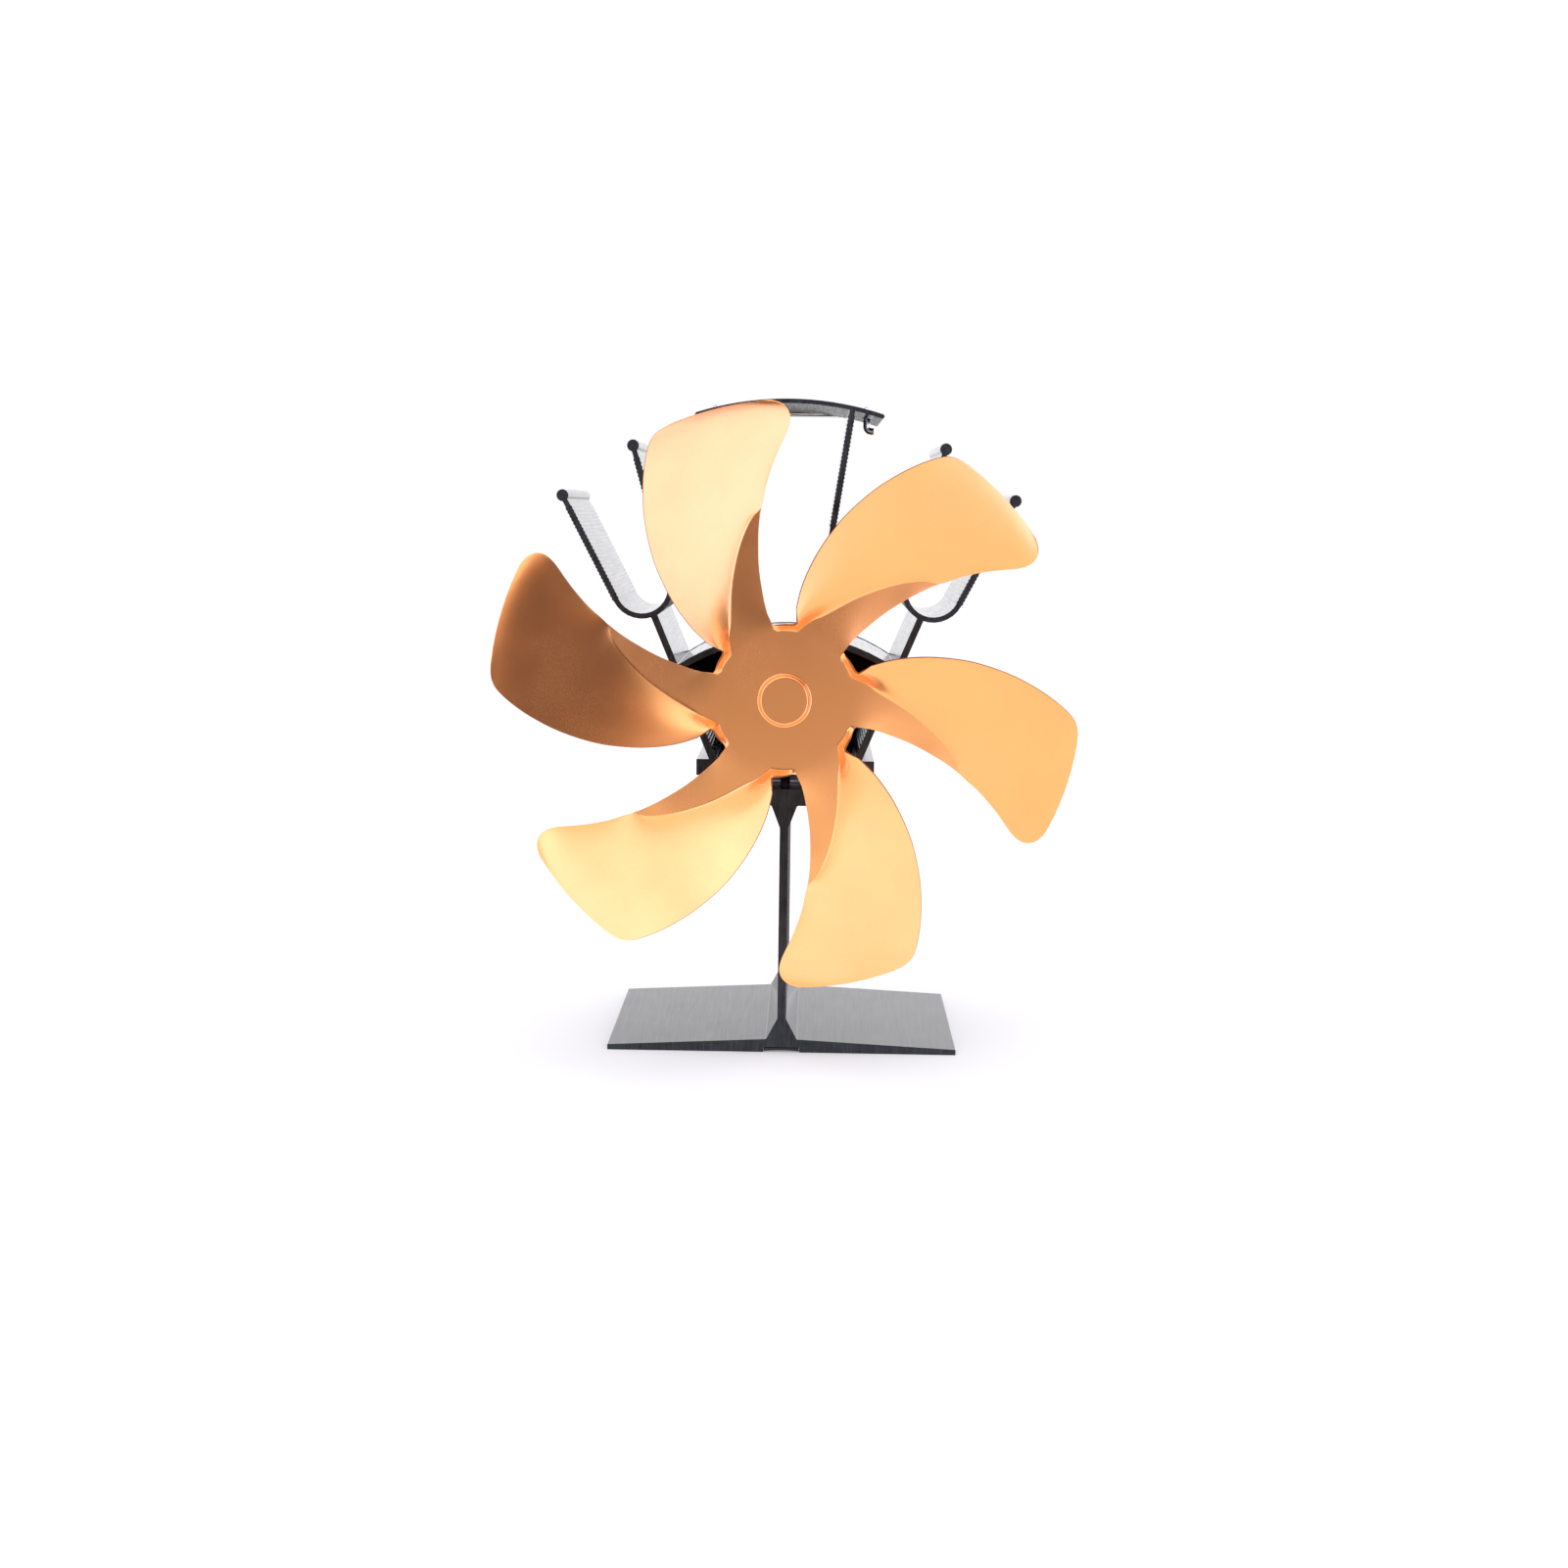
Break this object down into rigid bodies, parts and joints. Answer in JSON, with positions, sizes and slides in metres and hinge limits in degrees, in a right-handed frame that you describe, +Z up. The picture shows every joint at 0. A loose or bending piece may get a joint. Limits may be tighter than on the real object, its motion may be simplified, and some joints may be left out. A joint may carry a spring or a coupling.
{
  "type": "heat-powered stove fan",
  "caption": "Heat-powered stove fan: an extruded foot, a thermoelectric module, a finned heat sink with a fold-down wire handle, a motor and a gold multi-blade rotor.",
  "frame": {"origin": "bottom centre of the box round the whole fan, on the surface it stands on", "axes": "+Z up, the rotor faces -Y, +X to the right as seen from the rotor side"},
  "size_m": [0.1778, 0.1146, 0.2123],
  "materials": {
    "black_anodised": "black anodised",
    "black_paint": "satin black",
    "bronze_gold": "gold anodised",
    "bright_wire": "polished",
    "blackened_steel": "black oxide",
    "zinc_steel": "zinc plated",
    "brass": "turned",
    "copper": "copper, enamelled or turned",
    "white_ceramic": "ceramic, matt",
    "module_pellets": "semiconductor pellets",
    "motor_plastic": "moulded",
    "ferrite": "ferrite, matt",
    "red_lead": "wire insulation",
    "black_lead": "wire insulation"
  },
  "bodies": {
    "body": {"base_extrusion": "black_anodised", "heat_sink": "black_anodised", "heat_strip": "blackened_steel", "module_hot_plate": "white_ceramic", "module_core": "module_pellets", "module_cold_plate": "white_ceramic", "clamp_screw_front": "blackened_steel", "clamp_screw_rear": "blackened_steel", "clamp_washer_front": "zinc_steel", "clamp_washer_rear": "zinc_steel", "rear_cover": "black_paint", "cover_screw_left": "blackened_steel", "cover_screw_right": "blackened_steel", "motor_bracket": "blackened_steel", "bracket_screw_left": "blackened_steel", "bracket_screw_right": "blackened_steel", "motor_can": "zinc_steel", "motor_end_cap": "motor_plastic", "bearing_front": "brass", "bearing_rear": "brass", "magnet_upper": "ferrite", "magnet_lower": "ferrite", "brush_left": "ferrite", "brush_right": "ferrite", "terminal_left": "brass", "terminal_right": "brass", "wire_red": "red_lead", "wire_black": "black_lead"},
    "rotor": {"fan_blade": "bronze_gold", "hub_bushing": "brass", "hub_set_screw": "blackened_steel", "motor_shaft": "zinc_steel", "armature_core": "zinc_steel", "armature_winding": "copper", "commutator": "copper"},
    "handle": {"carry_handle": "bright_wire"}
  },
  "joints": [
    {"name": "rotor_spin", "type": "hinge", "parent": "body", "child": "rotor", "pos_m": [0, -0.0477, 0.1196], "axis": [0, 1, 0], "continuous": true},
    {"name": "handle_swing", "type": "hinge", "parent": "body", "child": "handle", "pos_m": [0, 0.0183, 0.20833], "axis": [1, 0, 0], "range_deg": [0, 50]}
  ]
}
